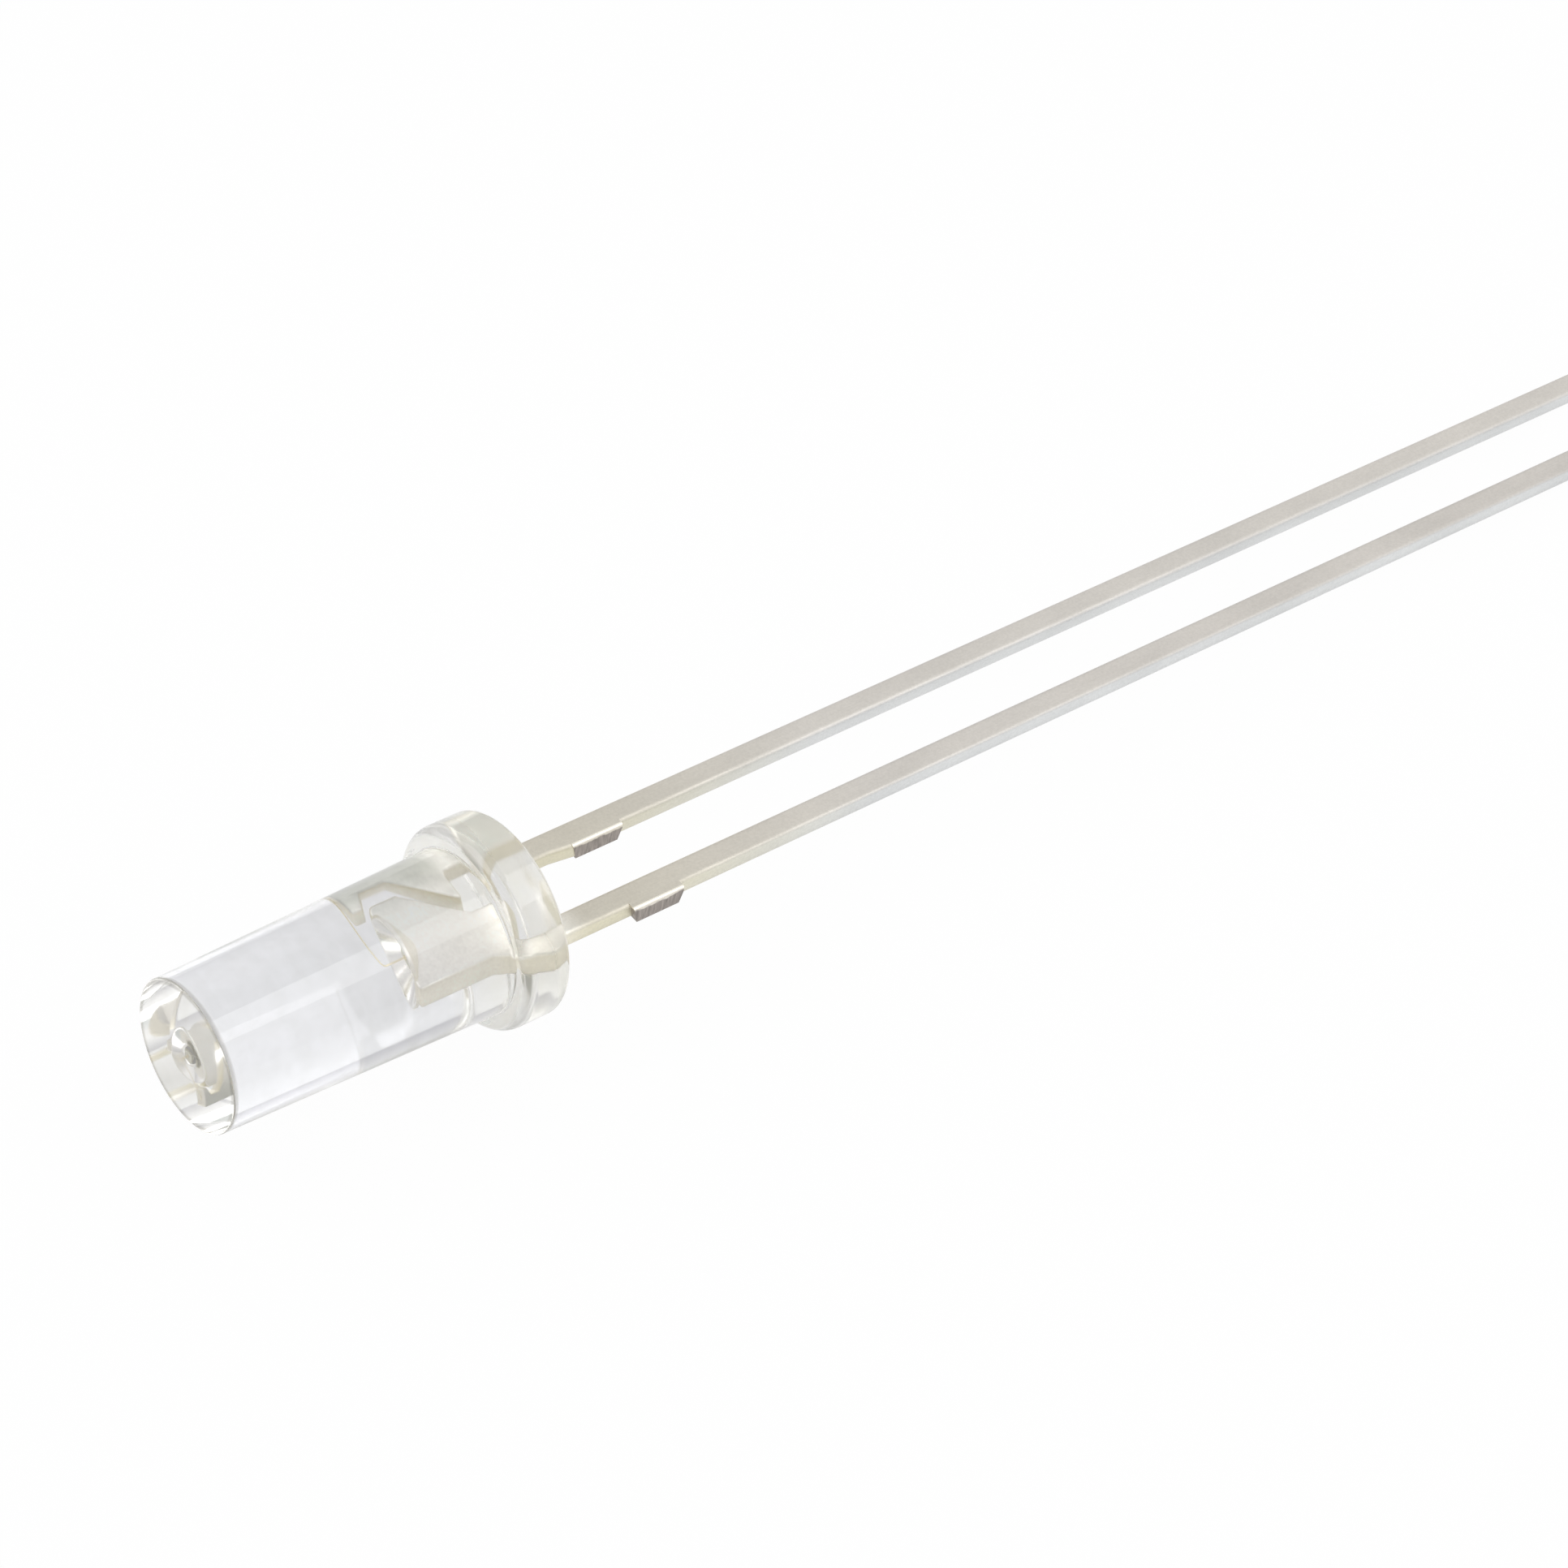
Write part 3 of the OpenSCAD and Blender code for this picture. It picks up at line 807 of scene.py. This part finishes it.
def cathode_outline(lead, s):
    """The cathode's outline, clockwise from its lead's tip, as [x, y, corner radius]."""
    near, far = (lead.pitch - lead.width) / 2, (lead.pitch + lead.width) / 2
    bend = lead.sheet / 5
    slant = slant_line(s)
    return [
        (lead.cathode, -far, 0),
        (0, -far, 0),
        (-s.shoulder_h, -s.anvil_outer, 0),
        (-s.anvil_h, -s.anvil_outer, bend),
        (-s.anvil_h, s.anvil_inner, 2 * bend),
        (slant(s.anvil_inner), s.anvil_inner, bend),
        (slant(s.anvil_waist), s.anvil_waist, bend),
        (-s.anvil_base_h, s.anvil_waist, bend),
        (-s.anvil_base_h, -near, bend),
        (0, -near, 0),
        (lead.cathode, -near, 0),
    ]


def slant_line(s):
    """Where the anvil's slanted edge is at a distance from the axis: beside the flag's, across
    the gap."""
    top, base = Vector((-s.flag_top_h, s.neck_in)), Vector((-s.flag_base_h, s.flag_reach))
    along = (base - top).normalized()
    start = top + s.gap * Vector((along.y, -along.x))
    return lambda y: start.x + (y - start.y) * along.x / along.y


def anode_outline(lead, s):
    """The anode's outline, clockwise from its lead's tip, as [x, y, corner radius]."""
    near, far = (lead.pitch - lead.width) / 2, (lead.pitch + lead.width) / 2
    flare_end = lead.stub_start + lead.stub_slant
    bend, notch = lead.sheet / 5, lead.sheet / 8
    post_h, head_end = s.anvil_h + s.post_rise, -s.anvil_h - s.gap / 4
    return [
        (lead.anode, far, 0),
        (0, far, 0),
        (-post_h, far, bend),
        (-post_h, s.head_in, notch),
        (head_end, s.head_in, notch),
        (head_end + s.neck_in - s.head_in, s.neck_in, notch),
        (-s.flag_top_h, s.neck_in, bend),
        (-s.flag_base_h, s.flag_reach, notch),
        (-s.flag_base_h, near, bend),
        (0, near, 0),
        (flare_end - lead.flare, near, 0),
        (flare_end, near - lead.anode_stub + HOLD, 0),
        (flare_end + lead.flare, near, 0),
        (lead.anode, near, 0),
    ]


def cup_body(s, sheet, anvil_h):
    """The cup's outside, flaring out of the anvil."""
    return turned("cup_body", [
        (sheet / 3, anvil_h - s.body_h),
        (s.rim_r, anvil_h - s.lip_h),
        (s.rim_r, anvil_h - RIM_CHAMFER),
        (s.rim_r - RIM_CHAMFER, anvil_h),
    ], CUP_SIDES)


def cup_hollow(s, anvil_h):
    """What the punch pressed out of the cup."""
    rim, floor_h = s.rim_r - s.land, anvil_h - s.depth
    slope = (rim - s.floor_r) / s.depth
    return turned("cup_hollow", [
        (s.floor_r - FLOOR_ROUND, floor_h),
        (s.floor_r - 0.3 * FLOOR_ROUND, floor_h + 0.2 * FLOOR_ROUND),
        (s.floor_r + slope * FLOOR_ROUND, floor_h + FLOOR_ROUND),
        (rim - slope * LIP_ROUND, anvil_h - LIP_ROUND),
        (rim + LIP_ROUND / 2, anvil_h),
        (rim + LIP_ROUND / 2 + s.lip_h, anvil_h + s.lip_h),
    ], CUP_SIDES)


def combined(piece, other, operation):
    """Unites or cuts the piece with another, which is used up."""
    apply(piece, "BOOLEAN", object=other, operation=operation, solver="EXACT")
    bpy.data.objects.remove(other)


def wire_route(s, frame_sizes, cup):
    """The bond wire's centre line as [distance from the axis, height above the seat]."""
    post_h = frame_sizes.anvil_h + frame_sizes.post_rise
    start_h = frame_sizes.anvil_h - cup.depth + s.paste_t + s.height + s.ball_h / 2
    bend_h = frame_sizes.anvil_h + s.wire_rise
    climb = math.degrees(s.climb)
    bend = arc((s.bend_r, bend_h), s.bend_r, 180, 90 + climb)
    chord = Vector((s.wedge_y, post_h + s.wire_d / 2)) - Vector(bend[-1])
    half = s.climb - math.atan2(chord.y, chord.x)
    radius = chord.length / (2 * math.sin(half))
    centre = Vector(bend[-1]) + radius * Vector((math.sin(s.climb), -math.cos(s.climb)))
    loop = arc(centre, radius, 90 + climb, 90 + climb - 2 * math.degrees(half), 3 * ARC_STEPS)
    return [(0, start_h), (0, bend_h - HOLD)] + bend + loop[1:]


class LED_OT_lens(bpy.types.Operator):
    """Casts the clear lens"""

    bl_idname = "led.lens"
    bl_label = "Lens"

    def execute(self, context):
        settings = context.scene.led_lamp
        piece = turned("clear_lens", lens_profile(settings.lens), TURNED_SIDES)
        piece.data.materials.append(cast_epoxy(settings.colours, settings.lens))
        finish(piece, 25, "lens")
        return {"FINISHED"}


class LED_OT_cathode(bpy.types.Operator):
    """Stamps the cathode lead with its anvil, and presses the reflector cup into it"""

    bl_idname = "led.cathode"
    bl_label = "Cathode lead"

    def execute(self, context):
        settings = context.scene.led_lamp
        lead, sizes, cup = settings.leads, settings.frame, settings.cup
        piece = stamped("cathode_frame", cathode_outline(lead, sizes), lead.sheet)
        give_lead_finishes(piece)
        piece.data.materials.append(coined_silver(settings.colours))
        round_edges(piece, lead)
        outer_edge = -(lead.pitch + lead.width) / 2
        combined(piece, dam_bar_stub(outer_edge, lead.cathode_stub, lead), "UNION")
        combined(piece, cup_body(cup, lead.sheet, sizes.anvil_h), "UNION")
        combined(piece, cup_hollow(cup, sizes.anvil_h), "DIFFERENCE")
        burnish_cup(piece, cup, sizes.anvil_h)
        finish(piece, 35, "cathode_lead")
        return {"FINISHED"}


class LED_OT_anode(bpy.types.Operator):
    """Stamps the anode lead with its post"""

    bl_idname = "led.anode"
    bl_label = "Anode lead"

    def execute(self, context):
        settings = context.scene.led_lamp
        lead = settings.leads
        piece = stamped("anode_frame", anode_outline(lead, settings.frame), lead.sheet)
        give_lead_finishes(piece)
        round_edges(piece, lead)
        inner_edge = (lead.pitch - lead.width) / 2
        combined(piece, dam_bar_stub(inner_edge, lead.anode_stub, lead), "UNION")
        finish(piece, 35, "anode_lead")
        return {"FINISHED"}


class LED_OT_chip(bpy.types.Operator):
    """Sets the chip on its paste in the cup"""

    bl_idname = "led.chip"
    bl_label = "Chip and paste"

    def execute(self, context):
        settings = context.scene.led_lamp
        s, colours = settings.chip, settings.colours
        floor_h = settings.frame.anvil_h - settings.cup.depth
        profile = [(s.paste_r * r, floor_h + s.paste_t * h) for r, h in PASTE_PROFILE]
        paste = turned("chip_paste", profile, PASTE_SIDES)
        paste.data.materials.append(silver_paste(colours))
        finish(paste, 60, "die_attach")
        bpy.ops.object.select_all(action="DESELECT")
        bpy.ops.mesh.primitive_cube_add(size=1)
        chip = started("chip")
        bpy.ops.transform.resize(value=(s.height, s.side, s.side), center_override=(0, 0, 0))
        bpy.ops.transform.translate(value=(-floor_h - s.paste_t - s.height / 2, 0, 0))
        select(chip, lambda f: f.normal.x < -FACING)
        bpy.ops.mesh.inset(thickness=s.side * CHIP_BORDER, depth=-s.height * CHIP_HOLLOW)
        alone(chip)
        apply(chip, "BEVEL", width=s.side * CHIP_BEVEL, segments=2, limit_method="ANGLE")
        chip.data.materials.append(sawn_crystal(colours))
        finish(chip, 35, "led_die")
        return {"FINISHED"}


class LED_OT_wire(bpy.types.Operator):
    """Bonds the gold wire from the chip to the post"""

    bl_idname = "led.wire"
    bl_label = "Bond wire"

    def execute(self, context):
        settings = context.scene.led_lamp
        s = settings.chip
        route = wire_route(s, settings.frame, settings.cup)
        bpy.ops.object.select_all(action="DESELECT")
        bpy.ops.curve.primitive_nurbs_path_add()
        wire = bpy.context.active_object
        wire.name = "gold_wire"
        line = wire.data
        line.splines.clear()
        spline = line.splines.new("POLY")
        spline.points.add(len(route) - 1)
        for point, (out, height) in zip(spline.points, route):
            point.co = (-height, out, 0, 1)
        line.dimensions = "3D"
        line.bevel_depth = s.wire_d / 2
        line.bevel_resolution = 3
        line.use_fill_caps = True
        alone(wire)
        bpy.ops.object.convert(target="MESH")
        ball_h = settings.frame.anvil_h - settings.cup.depth + s.paste_t + s.height
        profile = [(s.ball_d * r, ball_h + s.ball_h * h) for r, h in BALL_PROFILE]
        ball = turned("ball", profile, BALL_SIDES)
        bpy.ops.object.select_all(action="DESELECT")
        bpy.ops.mesh.primitive_cube_add(size=1)
        wedge = started("wedge")
        size = (s.wire_d, s.wedge_len, 2 * s.wire_d)
        bpy.ops.transform.resize(value=size, center_override=(0, 0, 0))
        post_h = settings.frame.anvil_h + settings.frame.post_rise
        bpy.ops.transform.translate(value=(-post_h - s.wire_d / 2, s.wedge_y, 0))
        select(wedge, lambda f: f.normal.x < -FACING)
        bpy.ops.transform.resize(value=WEDGE_TOP, center_override=(-post_h, s.wedge_y, 0))
        alone(wedge)
        apply(wedge, "BEVEL", width=s.wire_d * WEDGE_BEVEL, segments=2)
        for part in (ball, wedge, wire):
            part.select_set(True)
        bpy.context.view_layer.objects.active = wire
        bpy.ops.object.join()
        bpy.ops.object.mode_set(mode="EDIT")
        outward()
        alone(wire)
        wire.data.name = "gold_wire"
        wire.data.materials.clear()
        wire.data.materials.append(drawn_gold(settings.colours))
        finish(wire, 50, "bond_wire")
        return {"FINISHED"}


class LED_OT_finishes(bpy.types.Operator):
    """Mixes the finishes that the two leads share"""

    bl_idname = "led.finishes"
    bl_label = "Lead finishes"

    def execute(self, context):
        settings = context.scene.led_lamp
        plated_sheet(settings.colours, settings.leads.stub_start * TIN_FULL)
        sheared_steel(settings.colours)
        return {"FINISHED"}


# ---------------------------------------------------------------- stage

TABLE_SIDE = 800  # in millimetres, as are the softboxes' places and sizes
SOFTBOXES = (  # name, place, size, turn in degrees, radiance
    ("right_softbox", (57, -50, 106), (70, 70), -27, 1.7),
    ("left_softbox", (-90, 70, 90), (110, 110), 0, 1.2),
)
ROOM_HEIGHTS = (0.5, 0.72, 0.86)  # walls at the first two and ceiling from the third; zenith 1
SENSOR_WIDTH = 36
LIGHT_BOUNCES = 64  # enough for light that is caught between the lens's walls


def table_top(settings):
    bpy.ops.object.select_all(action="DESELECT")
    low, high = CAD_BOX
    middle = (Vector(low) + Vector(high)) / 2
    bpy.ops.mesh.primitive_plane_add(
        size=TABLE_SIDE * MM, location=(middle.x, middle.y, low[2])
    )
    table = started("table")
    bpy.ops.mesh.subdivide(number_cuts=3)
    alone(table)
    table.data.materials.append(pale_table(settings.colours))


def white_room(settings):
    """A white room. The camera sees it plain white; for light and in reflections the walls are
    bright, the ceiling a little darker and the horizon darker still."""
    world = bpy.data.worlds.new("white_room")
    bpy.context.scene.world = world
    world.use_nodes = True
    tree = world.node_tree
    tree.nodes.clear()
    ray = add_node(tree, "ShaderNodeTexCoord")
    split = add_node(tree, "ShaderNodeSeparateXYZ", {"Vector": ray.outputs["Generated"]})
    graded = add_node(tree, "ShaderNodeValToRGB", {"Fac": split.outputs["Z"]})
    stops = graded.color_ramp.elements
    for height in ROOM_HEIGHTS:
        stops.new(height)
    horizon, walls, ceiling = settings.stage.horizon, settings.stage.room, settings.stage.ceiling
    for stop, shade in zip(stops, (horizon, walls, walls, ceiling, ceiling)):
        stop.color = (*shade[:3], 1)
    light = add_node(tree, "ShaderNodeBackground", {
        "Color": graded, "Strength": settings.stage.world_level,
    })
    white = add_node(tree, "ShaderNodeBackground", {"Color": (1, 1, 1, 1), "Strength": 1.0})
    path = add_node(tree, "ShaderNodeLightPath")
    mixed = add_node(tree, "ShaderNodeMixShader", {
        "Fac": path.outputs["Is Camera Ray"], 1: light, 2: white,
    })
    add_node(tree, "ShaderNodeOutputWorld", {"Surface": mixed})


def soft_lamp(name, place_mm, size_mm, turn, radiance):
    """A softbox at a place, aimed at the lamp's seat and turned about its line of sight."""
    at = Vector(place_mm) * MM
    bpy.ops.object.select_all(action="DESELECT")
    bpy.ops.object.light_add(type="AREA", location=at)
    lamp = bpy.context.active_object
    lamp.name = lamp.data.name = name
    level = (-at).to_track_quat("-Z", "Y").to_matrix()
    lamp.rotation_euler = (level @ Matrix.Rotation(math.radians(turn), 3, "Z")).to_euler()
    lamp.data.shape = "RECTANGLE"
    lamp.data.size, lamp.data.size_y = size_mm[0] * MM, size_mm[1] * MM
    lamp.data.energy = radiance * math.pi * lamp.data.size * lamp.data.size_y


def aimed_camera(stage):
    at, aim = Vector(stage.camera_place), Vector(stage.camera_aim)
    bpy.ops.object.camera_add(location=at)
    camera = bpy.context.active_object
    level = (aim - at).to_track_quat("-Z", "Y").to_matrix()
    camera.rotation_euler = (level @ Matrix.Rotation(stage.camera_roll, 3, "Z")).to_euler()
    camera.data.lens = stage.focal_length
    camera.data.sensor_width = SENSOR_WIDTH
    camera.data.clip_start, camera.data.clip_end = 10 * MM, 2000 * MM
    bpy.context.scene.camera = camera


class LED_OT_stage(bpy.types.Operator):
    """Sets the table, the white room, the softboxes and the camera"""

    bl_idname = "led.stage"
    bl_label = "Stage"

    def execute(self, context):
        settings = context.scene.led_lamp
        table_top(settings)
        white_room(settings)
        for softbox in SOFTBOXES:
            soft_lamp(*softbox)
        aimed_camera(settings.stage)
        context.scene.view_settings.view_transform = "Standard"
        cycles = context.scene.cycles
        cycles.max_bounces = cycles.glossy_bounces = LIGHT_BOUNCES
        cycles.transmission_bounces = LIGHT_BOUNCES
        return {"FINISHED"}


class LED_PT_panel(bpy.types.Panel):
    """The lamp's pieces, in the order they are built"""

    bl_label = "LED lamp"
    bl_idname = "LED_PT_panel"
    bl_space_type = "VIEW_3D"
    bl_region_type = "UI"
    bl_category = "LED"

    def draw(self, context):
        for step in STEPS:
            self.layout.operator(step.bl_idname)
        for name in ("lens", "leads", "frame", "cup", "chip", "colours", "stage"):
            box = self.layout.box()
            group = getattr(context.scene.led_lamp, name)
            for key in group.bl_rna.properties.keys():
                if key not in ("rna_type", "name"):
                    box.prop(group, key)


STEPS = (
    LED_OT_finishes, LED_OT_lens, LED_OT_cathode, LED_OT_anode,
    LED_OT_chip, LED_OT_wire, LED_OT_stage,
)
GROUPS = (
    LensSizes, LeadSizes, FrameSizes, CupSizes, ChipSizes,
    FinishColours, StageSettings, LampSettings,
)


def register():
    for item in GROUPS + STEPS + (LED_PT_panel,):
        bpy.utils.register_class(item)
    bpy.types.Scene.led_lamp = PointerProperty(type=LampSettings)


def unregister():
    del bpy.types.Scene.led_lamp
    for item in reversed(GROUPS + STEPS + (LED_PT_panel,)):
        bpy.utils.unregister_class(item)


def main():
    register()
    bpy.ops.led.finishes()
    bpy.ops.led.lens()
    bpy.ops.led.cathode()
    bpy.ops.led.anode()
    bpy.ops.led.chip()
    bpy.ops.led.wire()
    bpy.ops.led.stage()


if __name__ == "__main__":
    main()
